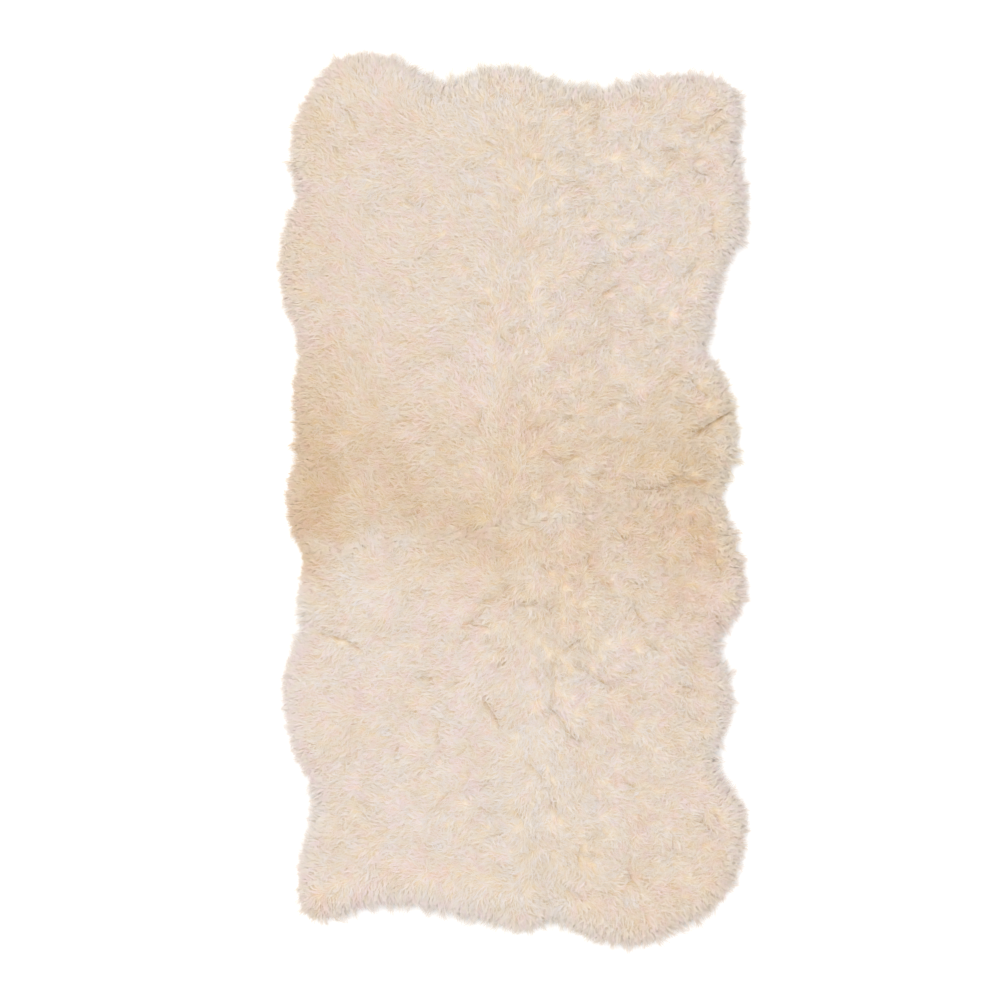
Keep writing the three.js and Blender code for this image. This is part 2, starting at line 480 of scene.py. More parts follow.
# ---------------------------------------------------------------------------------------
# The underwool. Under the tips of its locks a fleece is a dense springy mat, which swells
# over each lock and sinks where locks part. One closed body for each pelt stands on its hide.
# ---------------------------------------------------------------------------------------
MAT_STEP = 0.0070  # between points over the mat
MAT_UNDER_STEP = 0.03
MAT_SWELL = 0.50  # how far past the cut edge it swells, as a share of the wool's own swell
MAT_EDGE_RISE = 0.30  # how high its outermost line is, as a share of its height there
MAT_EDGE_WALL = 0.0025  # how thick it is at that line
MAT_RELIEF = 0.0016
MAT_RELIEF_SIZE = 0.04
MAT_FINE_RELIEF = 0.6  # as a share of the relief, and over what distance
MAT_FINE_RELIEF_SIZE = 0.014
TIP_DEPTH = 0.0078  # from the crown down to the mat
SHOULDER = 0.030  # how far in from its outermost line the mat reaches its full height
LOCK_STEP = 0.021  # from one lock to the next
LOCK_JITTER = 0.42  # how far locks and tufts stand off their rows, as a share of their step
LOCK_SWELL = 0.0035
SEAM_FILL = 0.005  # how much higher than the solid's trough the mat stands along the seam
SEAM_FILL_REACH = 0.03
SWELL_HEIGHT = 0.017  # where the solid swells out furthest
MOST_SWELL = 0.026
CROWN_INSET = 0.004  # how far inward the crown is felt for, so that its rim isn't missed
WELL_OFF = 0.2  # how far outside a cut rim the swell is felt from

# The wool's own colours, which any piece of it mixes by tone, from bleached tips to stained
# roots and painted shade, and by hue, from ashy through straw to rosy.
WOOL_TONES = [
    (0.00, (0.710, 0.654, 0.642)),
    (0.25, (0.696, 0.604, 0.520)),
    (0.60, (0.637, 0.500, 0.364)),
    (1.00, (0.570, 0.400, 0.240)),
]
WOOL_HUES = [
    (0.00, (0.957, 0.975, 0.980)),
    (0.35, (0.982, 0.986, 0.888)),
    (0.62, (0.996, 0.972, 0.953)),
    (1.00, (1.000, 0.932, 0.955)),
]
WOOL_ROUGHNESS = 0.9
WOOL_SPECULAR = 0.15
WOOL_SHEEN = 0.2
CRIMP_SIZE = 0.0022
CRIMP_HEIGHT = 0.0006
SPECKLE_SIZE = 0.0026

# How much more thickly the fleece stands on the mat near its rim, along the seam, and for
# each metre of a parting's depth, where it turns aside and would leave the mat bare.
RIM_THICKER = 0.9
RIM_THICKER_REACH = 0.03
SEAM_THICKER = 2.6
SEAM_THICKER_REACH = 0.009
PARTING_THICKER = 120

# The underwool's tone on the crown, partly its own deeper colour low in the fleece and partly
# painted shade of the dense pile, and what is taken from it or added to it elsewhere.
MAT_TONE_AND_SHADE = 0.38
# Painted light: the underwool is paler near its rim, against the shade in the slits between the edge
# wool.
MAT_RIM_PAINTED_LIGHT = 0.32
MAT_RIM_REACH = 0.03
# Painted light: the underwool is paler along the seam, against the shade in its trough.
MAT_SEAM_PAINTED_LIGHT = 0.06
MAT_SEAM_REACH = 0.010
# Painted shade: the underwool is deeper in tone in partings and between locks, and paler over the
# middle of each lock.
MAT_PARTING_PAINTED_SHADE = 45  # for each metre of a parting's depth
MAT_GAP_PAINTED_SHADE = 18  # for each metre from a lock's middle

tone_group, tone_in, tone_out = shade_group(
    "wool colour",
    [("Tone", "NodeSocketFloat", 0.3), ("Hue", "NodeSocketFloat", 0.5)],
    [("Color", "NodeSocketColor")],
)
tone_colour = ramp_node(tone_group, tone_in.outputs["Tone"], WOOL_TONES)
hue_colour = ramp_node(tone_group, tone_in.outputs["Hue"], WOOL_HUES)
tone_mix = mix_node(tone_group, tone_colour, hue_colour, "MULTIPLY")
tone_group.links.new(tone_mix.outputs["Result"], tone_out.inputs["Color"])

# The fine crimp of the fibres, too small to model one by one.
crimp_group, crimp_in, crimp_out = shade_group(
    "fibre crimp",
    [("Strength", "NodeSocketFloat", 0.5)],
    [("Normal", "NodeSocketVector")],
)
crimp_bump = bump_node(crimp_group, noise_node(crimp_group, CRIMP_SIZE), CRIMP_HEIGHT)
crimp_group.links.new(crimp_in.outputs["Strength"], crimp_bump.inputs["Strength"])
crimp_group.links.new(crimp_bump.outputs["Normal"], crimp_out.inputs["Normal"])


def painted(tree, label):
    """What is painted over a piece's points under a label."""
    attribute = tree.nodes.new("ShaderNodeAttribute")
    attribute.attribute_name = label
    return attribute.outputs["Fac"]


def speckled(tree, tone, strength):
    """A tone with fine speckles, up to strength lighter and darker."""
    flecks = range_node(tree, noise_node(tree, SPECKLE_SIZE, detail=3), -strength, strength)
    flecks.inputs["From Min"].default_value = 0.3
    flecks.inputs["From Max"].default_value = 0.7
    total = tree.nodes.new("ShaderNodeMath")
    tree.links.new(tone, total.inputs[0])
    tree.links.new(flecks.outputs["Result"], total.inputs[1])
    return total.outputs["Value"]


def wool_material(name, crimp, speckle=0.0):
    """A wool finish whose tone and hue are painted over each piece's points."""
    material, shader, tree = new_material(name, WOOL_ROUGHNESS, WOOL_SPECULAR, WOOL_SHEEN)
    tone = painted(tree, "tone")
    if speckle:
        tone = speckled(tree, tone, speckle)
    colour = placed_group(tree, tone_group)
    fibre = placed_group(tree, crimp_group)
    fibre.inputs["Strength"].default_value = crimp
    tree.links.new(tone, colour.inputs["Tone"])
    tree.links.new(painted(tree, "hue"), colour.inputs["Hue"])
    tree.links.new(colour.outputs["Color"], shader.inputs["Base Color"])
    tree.links.new(fibre.outputs["Normal"], shader.inputs["Normal"])
    return material


def paint(piece, tone, hue):
    """Stores tone and hue at each point of a piece."""
    for label, values in (("tone", tone), ("hue", hue)):
        layer = piece.data.attributes.new(label, "FLOAT", "POINT")
        layer.data.foreach_set("value", np.clip(values, 0, 1).astype(np.float32))


# Where the fleece is stained, bleached or yellowed: the middle of each patch, its reach
# across and along, how much it adds to the tone, and how much to the hue.
STAINS = [
    # across, along, reach across, reach along, tone, hue
    (-0.43, -0.06, 0.11, 0.09, 0.50, 0.08),  # thigh, the darkest
    (-0.41, 0.10, 0.10, 0.11, 0.31, 0.02),
    (-0.41, 0.25, 0.10, 0.08, 0.13, 0.00),
    (-0.46, 0.50, 0.11, 0.42, 0.15, 0.00),
    (-0.23, 0.06, 0.15, 0.16, 0.22, 0.00),
    (-0.08, -0.07, 0.12, 0.11, 0.28, 0.00),  # over the rumps
    (0.09, -0.15, 0.10, 0.12, 0.13, 0.00),
    (0.02, 0.12, 0.16, 0.12, 0.12, 0.06),
    (0.34, 0.08, 0.12, 0.08, 0.22, -0.35),  # olive
    (0.38, -0.07, 0.13, 0.10, 0.26, 0.05),  # rosy brown
    (0.30, 0.20, 0.16, 0.08, 0.08, -0.10),
    (0.22, -0.01, 0.12, 0.12, 0.11, 0.00),
    (0.38, -0.20, 0.13, 0.14, 0.06, 0.15),
    (-0.30, -0.20, 0.16, 0.09, -0.06, -0.12),  # the pale patch beside the seam
    (0.05, -0.62, 0.10, 0.26, 0.00, -0.28),  # cream down the near back
    (0.02, 0.68, 0.20, 0.22, -0.01, -0.24),  # and at the far neck
    (0.37, -0.80, 0.14, 0.16, 0.13, 0.05),
    (-0.40, 0.84, 0.12, 0.10, 0.10, 0.00),
    (-0.40, -0.84, 0.10, 0.10, 0.08, 0.00),
    (0.28, 0.55, 0.20, 0.30, -0.06, 0.00),  # paler over the far right and the near flanks
    (-0.10, -0.50, 0.25, 0.30, -0.05, 0.00),
]

# How far the stains' outlines stray, and over what distance.
STAIN_STRAYS = [(0.045, 0.09), (0.020, 0.03)]

# The small clouds all over it, of cream and sand by tone, and of ashy and rosy wool by hue:
# how large they are, and how much each size adds.
TONE_CLOUDS = [(0.055, 0.060), (0.026, 0.055), (0.013, 0.060), (0.007, 0.070)]
HUE_CLOUDS = [(0.034, 0.24), (0.009, 0.62)]

# The wool is smooth on the left flanks and curls boldly on the right ones, though less
# towards the near end: where it turns from one to the other, and how much calmer it ends.
CURL_ACROSS = (-0.15, 0.15)
CURL_ALONG = (0.3, 0.6)
NEAR_END_CALMER = 0.4

# Where the locks part in a line that shows: its two ends, and how deep it is.
PARTINGS = [
    # across, along, across, along, depth
    (0.362, 0.140, 0.430, 0.176, 0.010),
    (0.319, 0.036, 0.386, 0.039, 0.006),
    (0.250, 0.016, 0.307, 0.022, 0.006),
    (0.124, -0.336, 0.198, -0.374, 0.005),
    (0.078, -0.317, 0.076, -0.402, 0.004),
    (0.070, -0.414, 0.130, -0.485, 0.006),
    (-0.380, -0.268, -0.309, -0.293, 0.006),
    (-0.190, -0.352, -0.160, -0.362, 0.006),
    (-0.085, -0.247, -0.050, -0.256, 0.006),
    (-0.057, -0.400, -0.025, -0.457, 0.006),
]
PARTING_WIDTH = 0.0065
PARTING_WANDER = 0.006
PARTING_WANDER_SIZE = 0.03
PARTING_TURNS = 0.006  # one this deep turns the wool's lay right away from it
PARTING_LEAST = 0.0003  # how far it opens to either side, and more by its depth
PARTING_OPENS = 0.13
PARTING_RAGGED = 0.7  # how uneven its sides are, and over what distance
PARTING_RAGGED_SIZE = 0.006
PARTING_REACH = 0.03  # how far past its ends wisps are looked at
SMALL_PARTINGS = 190  # and the smaller ones, most of them where the wool curls
SMALL_PARTING_HALF = (0.006, 0.022)
SMALL_PARTING_DEPTH = (0.002, 0.0045)
SMALL_PARTING_SLANT = {"far": 20, "near": -35}  # degrees from straight across
SMALL_PARTING_MARGIN = 0.06  # from the rug's sides
SMALL_PARTING_OFF_SEAM = 0.04


def stain(across, along):
    """The tone and hue that the stains add at points of the floor plan."""
    tone = np.zeros(len(across))
    hue = np.zeros(len(across))
    strayed_x, strayed_y = across, along
    for k, (reach, size) in enumerate(STAIN_STRAYS):
        strayed_x = strayed_x + reach * soft_noise(across, along, size, 55 + 2 * k)
        strayed_y = strayed_y + reach * soft_noise(across, along, size, 56 + 2 * k)
    for x, y, wide, long, more_tone, more_hue in STAINS:
        share = np.exp(-(((strayed_x - x) / wide) ** 2) - ((strayed_y - y) / long) ** 2)
        tone += more_tone * share
        hue += more_hue * share
    return tone, hue


def clouds(across, along, sizes, seed):
    """What clouds of several sizes add up to at points of the floor plan."""
    return sum(
        share * soft_noise(across, along, size, seed + k) for k, (size, share) in enumerate(sizes)
    )


def mottle(across, along):
    """The tone that the clouds of cream and sand add."""
    return clouds(across, along, TONE_CLOUDS, seed=81)


def hue_mottle(across, along):
    """The hue that the clouds of ashy and rosy wool add."""
    return clouds(across, along, HUE_CLOUDS, seed=63)


def curl_of(across, along):
    """How boldly the wool curls, from 0 on the left flanks to 1 on the right ones."""
    return smooth(across, *CURL_ACROSS) * (1 - NEAR_END_CALMER * smooth(-along, *CURL_ALONG))


def small_partings():
    """Short partings scattered clear of the seam, slanting from the back like fish bones."""
    rng = np.random.default_rng(400)
    rows = []
    while len(rows) < SMALL_PARTINGS:
        x = rng.uniform(cad_low.x + SMALL_PARTING_MARGIN, cad_high.x - SMALL_PARTING_MARGIN)
        y = rng.uniform(cad_low.y + SMALL_PARTING_MARGIN, cad_high.y - SMALL_PARTING_MARGIN)
        off_seam = abs(np.dot((x, y) - seam_ends[0], seam_across))
        if off_seam < SMALL_PARTING_OFF_SEAM or rng.uniform() > 0.25 + 0.75 * curl_of(x, y):
            continue
        slant = math.radians(SMALL_PARTING_SLANT["near" if y < 0 else "far"])
        slant = slant * math.copysign(1, x) + rng.normal(0, 0.5)
        half = rng.uniform(*SMALL_PARTING_HALF)
        step = half * np.array([math.cos(slant), math.sin(slant)])
        deep = rng.uniform(*SMALL_PARTING_DEPTH)
        rows.append((x - step[0], y - step[1], x + step[0], y + step[1], deep))
    return rows


# Each parting's start, its run to its other end, and its depth.
all_partings = [
    (np.array([x0, y0]), np.array([x1 - x0, y1 - y0]), deep)
    for x0, y0, x1, y1, deep in PARTINGS + small_partings()
]


def wandering(places):
    """Places of the floor plan moved about a little, so that no parting runs straight."""
    x, y = places[..., 0], places[..., 1]
    wander = [soft_noise(x, y, PARTING_WANDER_SIZE, seed) for seed in (71, 72)]
    return places + PARTING_WANDER * np.stack(wander, axis=-1)


def parting(plan):
    """How deep the partings are at points of the floor plan, and which way is out of them."""
    places = wandering(plan)
    depth = np.zeros(len(plan))
    away = np.zeros((len(plan), 2))
    for start, run, deep in all_partings:
        share = np.clip((places - start) @ run / (run @ run), 0, 1)
        off = places - start - share[:, None] * run
        distance = np.linalg.norm(off, axis=1)
        here = deep * np.exp(-((distance / PARTING_WIDTH) ** 2))
        away += (here / PARTING_TURNS)[:, None] * off / (distance[:, None] + 1e-6)
        depth = np.maximum(depth, here)
    return depth, away


def keep_apart(paths):
    """Bends wisps aside where a parting opens, so that three in four don't lie across it."""
    for start, run, deep in all_partings:
        reach = 0.5 * np.linalg.norm(run) + PARTING_REACH
        off_middle = np.linalg.norm(paths[:, 0, :2] - start - 0.5 * run, axis=1)
        near = np.flatnonzero(off_middle < reach)
        x, y = paths[near, :, 0], paths[near, :, 1]
        places = wandering(paths[near, :, :2]) - start
        share = places @ run / (run @ run)
        across = np.array([-run[1], run[0]]) / np.linalg.norm(run)
        off = places @ across
        side = np.where(off[:, :1] < 0, -1.0, 1.0)

        # Each point is pushed out past the gap, to the side that its wisp is rooted on. The
        # gap narrows to nothing at the parting's ends and is ragged between them.
        gap = PARTING_LEAST + PARTING_OPENS * deep
        gap = gap * smooth(share, -0.15, 0.2) * (1 - smooth(share, 0.8, 1.15))
        gap *= 1 + PARTING_RAGGED * soft_noise(x, y, PARTING_RAGGED_SIZE, 73)
        wanted = side * np.hypot(np.maximum(side * off, 0), gap)
        ends = smooth(share, -0.15, 0.05) * (1 - smooth(share, 0.95, 1.15))
        ends *= (near % 4 > 0)[:, None]
        paths[near, :, :2] += ((wanted - off) * ends)[..., None] * across


def crown_height(node, plan):
    """How high the pelt's solid stands over each point of the floor plan."""
    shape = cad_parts[node]
    inward = plan.mean(axis=0) - plan
    inward /= np.linalg.norm(inward, axis=1, keepdims=True)
    heights = np.zeros(len(plan))
    for index, (x, y) in enumerate(plan + CROWN_INSET * inward):
        hit, place, _, _ = shape.ray_cast((x, y, 1.0), (0, 0, -1))
        heights[index] = place.z if hit else 0.0
    return heights


def swollen(node, rim, share):
    """A pelt's cut rim moved out by a share of how far the solid swells past it."""
    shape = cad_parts[node]
    out = rim - rim.mean(axis=0)
    out /= np.linalg.norm(out, axis=1, keepdims=True)
    reach = np.zeros(len(rim))
    for index, ((x, y), (u, v)) in enumerate(zip(rim, out)):
        outside = (x + WELL_OFF * u, y + WELL_OFF * v, SWELL_HEIGHT)
        hit, place, _, _ = shape.ray_cast(outside, (-u, -v, 0))
        reach[index] = (place.to_2d() - Vector((x, y))).length if hit else 0.0
    reach = np.clip(reach, 0, MOST_SWELL)
    reach = (np.roll(reach, 1) + reach + np.roll(reach, -1)) / 3
    return rim + share * reach[:, None] * out


underwool = wool_material("underwool", crimp=1.0, speckle=0.16)
mats = {}
for seed, pelt in enumerate(PELTS):
    rng = np.random.default_rng(200 + seed)
    node = f"{pelt}_pelt"
    free = ~on_seam[pelt]
    rim = np.where(free[:, None], swollen(node, rims[pelt], MAT_SWELL), rims[pelt])
    plan, faces = filled(rim, MAT_STEP, rng)
    x, y = plan.T
    index, edge = nearest(plan, tree_of(rim[free]))
    outward = unit(rim[free][index] - plan)
    _, seam = nearest(plan, seam_tree)
    notch = np.minimum(*[np.linalg.norm(plan - end, axis=1) for end in seam_ends])
    locks = scattered(rim.min(axis=0), rim.max(axis=0), LOCK_STEP, rng, LOCK_JITTER)
    _, from_lock = nearest(plan, tree_of(locks))
    deep, _ = parting(plan)

    # The mat's height: full on the crown, and rounded down to a low wall at its free edge.
    swell = LOCK_SWELL * (0.5 + 0.5 * curl_of(x, y)) * (0.45 - from_lock / LOCK_STEP)
    relief = soft_noise(x, y, MAT_RELIEF_SIZE, 20)
    relief = relief + MAT_FINE_RELIEF * soft_noise(x, y, MAT_FINE_RELIEF_SIZE, 30)
    relief *= MAT_RELIEF
    full = crown_height(node, plan) - TIP_DEPTH + swell + relief - deep
    full += SEAM_FILL * np.exp(-((seam / SEAM_FILL_REACH) ** 2))
    inward = np.clip(edge / SHOULDER, 0, 1)
    rounding = np.maximum(np.sqrt(1 - (1 - inward) ** 2), 0.02)
    base = HIDE_THICKNESS + SEAM_LIFT
    low = base + MAT_EDGE_WALL + MAT_EDGE_RISE * (full - base)
    top = np.column_stack([plan, low + (full - low) * rounding])
    under_plan, under_faces = filled(rim, MAT_UNDER_STEP, rng)
    under = np.column_stack([under_plan, np.full(len(under_plan), base)])
    under[: len(rim)][free, 2] = top[: len(rim)][free, 2] - MAT_EDGE_WALL
    points, body_faces = closed_body(len(rim), top, faces, under, under_faces)
    mat = mesh_object(f"{pelt}_underwool", points, body_faces, underwool)
    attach(mat, "root")

    # The solid has now been felt for the last time, so its pelt's own pieces stand for it.
    for piece in (hides[pelt], mat):
        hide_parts(node)

    tone, hue = stain(*points[:, :2].T)
    # Partly painted shade: the underwool's base tone is deeper than the tips'.
    tone += MAT_TONE_AND_SHADE + mottle(*points[:, :2].T)
    # Painted light: paler near the rim.
    tone[: len(plan)] -= MAT_RIM_PAINTED_LIGHT * (1 - smooth(edge, 0.0, MAT_RIM_REACH))
    # Painted light: paler along the seam.
    tone[: len(plan)] -= MAT_SEAM_PAINTED_LIGHT * np.exp(-((seam / MAT_SEAM_REACH) ** 2))
    # Painted shade in partings and between locks, and painted light over each lock's middle.
    painted_hollow_shade = MAT_PARTING_PAINTED_SHADE * deep + MAT_GAP_PAINTED_SHADE * (from_lock - 0.3 * LOCK_STEP)
    tone[: len(plan)] += painted_hollow_shade
    paint(mat, tone, 0.5 + hue + hue_mottle(*points[:, :2].T))

    # How thickly the fleece stands, and what else it takes from the mat at each of its points.
    need = 1 + RIM_THICKER * (edge < RIM_THICKER_REACH)
    need += SEAM_THICKER * np.exp(-((seam / SEAM_THICKER_REACH) ** 2)) + PARTING_THICKER * deep
    mats[pelt] = {
        "piece": mat,
        "rim": rim,
        "points": top,
        "faces": faces,
        "edge": edge,
        "outward": outward,
        "seam": seam,
        "notch": notch,
        "need": need,
        "locks": locks,
    }


# ---------------------------------------------------------------------------------------
# The fleece. Its fibres stand in locks some 20 mm across that lean away from the back and
# out over every edge, their crimped tips lying over the next lock's. Finer and smoother on
# the left flanks, in bolder curls on the right.
# ---------------------------------------------------------------------------------------
WISPS_PER_PELT = {"far": 99000, "near": 87500}
WISP_LENGTH = 0.0190
WISP_WIDTH = 0.0011
WISP_WIDTHS = (0.6, 1.4)  # the narrowest and the widest, as shares of that
WISP_ROLL = 0.14  # how far one is rolled about its own length, and how much more on curls
CURL_ROLL = 0.22
WISP_PARTS = 3
WISP_RISE = 0.85  # how far up a wisp sets out from its root, and how far along its lay
WISP_LEAN = 0.68
RISE_BY_LOCK = 0.12  # how much that rise varies from lock to lock, and from wisp to wisp
RISE_BY_WISP = 0.08
TIP_RISE = 0.16  # how far up its tip points, and how far it droops
TIP_DROOP = (0, 0, -0.20)
TIP_UNRULY = (0.2, 0.2, 0.08)  # and how far each tip strays across, along and up
WISP_ROOT_DEPTH = 0.0008
LENGTH_BY_LOCK = 0.08  # how much the length varies from lock to lock, and from wisp to wisp
LENGTH_BY_WISP = 0.12
RIM_BAND = 0.03  # this near the rim, where the edge wool stands too, they are shorter
RIM_SHORTER = 0.42
NOTCH_BAND = 0.05  # and this near the seam's two ends shorter still
NOTCH_SHORTER = 0.6
TUFT_STEP = 0.0062  # the smaller tufts that a lock divides into
LOCK_TURN = 0.22  # how far locks, tufts and single wisps turn from the wool's lay
TUFT_TURN = 0.42
WISP_TURN = 0.20
STRAY_SHARE = 0.07  # of the wisps lie across the others
STRAY_TURN = 1.1
TUFT_GATHER = 0.58  # how far the tips of a tuft close up on its middle
LOCK_GATHER = 0.08  # and on their lock's, with more on curls and at spiky edges
CURL_GATHER = 0.10
SPIKE_GATHER = 0.3
GATHER_LATE = 1.6  # how much of that is near the tip
CRIMP_WAVE = (0.013, 0.019)  # the length of one wave of a wisp's crimp
CRIMP_REACH = 0.0010  # how far a wave leads to the side, more on curls, and how it varies
CURL_REACH = 0.0009
REACH_BY_WISP = 0.0002
CRIMP_RISE = 0.15  # and how far it leads up, as a share of that
TIP_ROOM = 0.006  # how far the tips may rise over the solid's crown
TIP_ROOM_EASE = 0.008
FLOOR_ROOM = 0.0006

# The line of each animal's back, from its rump to its neck, and which way its neck lies.
BACKS = {"far": ((0.005, -0.045), (0.0, 0.88)), "near": ((0.045, -0.045), (0.072, -0.86))}
TOWARDS_END = {"far": 1.0, "near": -1.0}

# The lay of the wool, by distance from the back, the seam and the free edges.
BACK_SIDE = 0.05  # this far off the back it leans fully to its own side
BACK_BAND = 0.06  # and nearer than this more along the back, and less aside
BACK_ALONG = 0.9
BACK_LESS_ASIDE = 0.6
FLANK_ALONG = 0.30  # how far it leans towards the end on the flanks
SEAM_BAND = (0.02, 0.16)  # where it turns from across the seam to towards the end
SEAM_ALONG = 0.3  # and how far along the rug it leans beside the seam
SEAM_BY_TURNS = (0.004, 0.035)  # within these, one pelt's wool lies over the other's by turns
BY_TURNS_SIZE = 0.045  # over this distance, this firmly and this sharply
BY_TURNS_LEAN = 1.5
BY_TURNS_SHARPNESS = 2.5
FREE_BAND = (0.01, 0.09)  # where it turns straight out over an edge, and how firmly
FREE_LEAN = 1.4
SWING_SIZES = (0.085, 0.035)  # how far apart it swings from side to side, wide and small
WIDE_SWING = 0.6
SMALL_SWING = 0.35
CURL_SWING = 0.75  # how much more it swings on curls
FREE_SWINGS_LESS = 0.6
STREAK_BAND = 0.07  # how far from the back its streaks of colour show
STREAK_WIDTHS = (0.006, 0.013)
STREAK_SHARES = (0.10, 0.12)  # of their width to their length

# Where the wool at the edges is spiky: towards the ends, and towards the right.
SPIKY_ALONG = (0.70, 0.84)
SPIKY_ACROSS = (0.1, 0.4)

# A wisp is a bundle of fibres and catches light as a round one does. So its normals turn a
# little from one side to the other, and towards its tip they follow the fleece's own.
ROUND = 0.15
EVENNESS = 4.4  # how closely they follow it on smooth wool
CURL_LESS_EVEN = 1.7  # and how much less on curls
ROOT_EVENNESS = 0.1  # at a root, as a share of that at a tip
FACES_UP = 1.2  # how far the fleece's own normals turn up at the rim, and how near to it
FACES_UP_BAND = 0.04

# A wisp's tone at its tip, and what its lock, tuft, curl, streak and parting add to it; what
# a parting adds is painted shade.
TIP_TONE = 0.06
LOCK_TONE = 0.012
TUFT_TONE = 0.024
CURL_TUFT_TONE = 0.012
STREAK_TONE = 0.05
PARTING_PAINTED_SHADE = 20  # for each metre of its depth
TONE_BY_WISP = 0.03

# Near the rim the clouds are fainter, and the tips a little paler and, on smooth wool, rosier.
RIM_CLOUDS = 0.4
CALM_BAND = (0.01, 0.05)
PALER_BAND = 0.045
PALER = 0.02
ROSIER = 0.15
PALEST_BAND = 0.02
PALEST = 0.04

# How much deeper in tone a wisp is at its root, partly the staining of its roots and partly
# painted shade deep in the pile, and by what more on curls and in partings, which is painted
# shade, and how much less along the seam, which is painted light.
ROOT_STAIN_AND_SHADE = 0.21
CURL_ROOT_PAINTED_SHADE = 0.05
PARTING_ROOT_PAINTED_SHADE = 40  # for each metre of its depth
SEAM_ROOT_PAINTED_LIGHT = 0.05
SEAM_ROOT_REACH = 0.012
ROOT_FADE = 1.3  # how fast the deeper tone fades towards the tip

# A wisp's hue, and how much it varies from lock to lock, tuft to tuft and wisp to wisp.
WISP_HUE = 0.5
LOCK_HUE = 0.05
TUFT_HUE = 0.05
HUE_BY_WISP = 0.01

# Where the export's flat map of the wisps' colours has its tones, its hues and one wisp.
MAP_MARGIN = 0.01
MAP_TONES = 0.96
MAP_HUES = 0.98
MAP_WISP_LENGTH = 0.008
MAP_WISP_HALF = 0.0016


def turned(vectors, angle):
    """Vectors of the floor plan turned by an angle each."""
    c, s = np.cos(angle), np.sin(angle)
    x, y = vectors.T
    return np.column_stack([x * c - y * s, x * s + y * c])


def from_back(pelt, x, y):
    """How far points of the floor plan are to the right of the animal's back."""
    (x0, y0), (x1, y1) = BACKS[pelt]
    return x - (x0 + (x1 - x0) * (y - y0) / (y1 - y0))


def spikiness(x, y):
    """How spiky the wool at the edges is, from 0 on the left to 1 at the ends and the right."""
    return np.maximum(smooth(np.abs(y), *SPIKY_ALONG), smooth(x, *SPIKY_ACROSS))


def lay_of_wool(pelt, plan, edge, outward, seam):
    """Which way the wool leans over the floor plan, unit vectors."""
    x, y = plan.T
    off_back = from_back(pelt, x, y)
    near_back = np.exp(-((off_back / BACK_BAND) ** 2))
    off_seam = smooth(seam, *SEAM_BAND)
    across = np.tanh(off_back / BACK_SIDE) * (1 - BACK_LESS_ASIDE * near_back)
    along = TOWARDS_END[pelt] * (FLANK_ALONG * off_seam + BACK_ALONG * near_back)
    along += SEAM_ALONG * (1 - off_seam) * (1 - near_back)
    free = (1 - smooth(edge, *FREE_BAND))[:, None]
    lay = np.column_stack([across, along]) * (1 - free) + FREE_LEAN * outward * free
    wide, small = (soft_noise(x, y, size, 51 + k) for k, size in enumerate(SWING_SIZES))
    swing = WIDE_SWING * wide + (SMALL_SWING + CURL_SWING * curl_of(x, y)) * small
    lay = turned(unit(lay), swing * (1 - FREE_SWINGS_LESS * free[:, 0]))
    turns = soft_noise(x, 0 * x, BY_TURNS_SIZE, 53)
    by_turns = BY_TURNS_LEAN * np.tanh(BY_TURNS_SHARPNESS * turns)
    by_turns *= 1 - smooth(seam, *SEAM_BY_TURNS)
    return unit(lay + parting(plan)[1] + by_turns[:, None] * seam_across)


def back_streaks(pelt, x, y):
    """Streaks of tone that run along the animal's back, from -1 to 1."""
    off_back = from_back(pelt, x, y)
    fine = sum(
        soft_noise(off_back, share * y, wide, 91 + k)
        for k, (wide, share) in enumerate(zip(STREAK_WIDTHS, STREAK_SHARES))
    )
    return fine * np.exp(-((off_back / STREAK_BAND) ** 2))


def face_normals(mat):
    """The way out of each triangle of the mat, as long as twice its area."""
    corner = mat["points"][mat["faces"]]
    return np.cross(corner[:, 1] - corner[:, 0], corner[:, 2] - corner[:, 0])


def normals_over(mat):
    """The way out of the mat at each of its points."""
    normals = np.zeros_like(mat["points"])
    for k in range(3):
        np.add.at(normals, mat["faces"][:, k], face_normals(mat))
    return unit(normals)


def sown(mat, need, count, rng):
    """Places sown on the mat, thicker where more are needed: triangle and corner weights."""
    size = np.linalg.norm(face_normals(mat), axis=1) * need[mat["faces"]].mean(axis=1)
    share = np.cumsum(size) / size.sum()
    picks = (np.arange(count) + rng.uniform(0, 1, count)) / count
    face = np.minimum(np.searchsorted(share, picks), len(share) - 1)
    u, v = rng.uniform(0, 1, (2, count))
    fold = u + v > 1
    u, v = np.where(fold, 1 - u, u), np.where(fold, 1 - v, v)
    return face, np.column_stack([1 - u - v, u, v])


def spread(mat, values, face, weights):
    """A value of the mat's points, carried to the sown places."""
    return np.einsum("nk,nk...->n...", weights, values[mat["faces"][face]])


def bent(root, start_way, end_way, long):
    """Paths (n, steps, 3) that set out one way from their roots and end another way."""
    t = np.linspace(0, 1, WISP_PARTS + 1)
    bend = smooth(t, -0.25, 0.85)[None, :, None]
    way = unit(start_way[:, None] * (1 - bend) + end_way[:, None] * bend)
    stride = 0.5 * (way[:, 1:] + way[:, :-1]) * (long / WISP_PARTS)[:, None, None]
    return np.concatenate([root[:, None], root[:, None] + np.cumsum(stride, axis=1)], axis=1)


def kept_in_room(height, rng):
    """Heights eased under the tips' ceiling, and none of them below the floor."""
    over = np.maximum(height - (cad_high.z + TIP_ROOM - TIP_ROOM_EASE), 0)
    height = height + (TIP_ROOM_EASE * np.tanh(over / TIP_ROOM_EASE) - over)
    return np.maximum(height, FLOOR_ROOM + 0.0004 * rng.uniform(0, 1, (len(height), 1)))


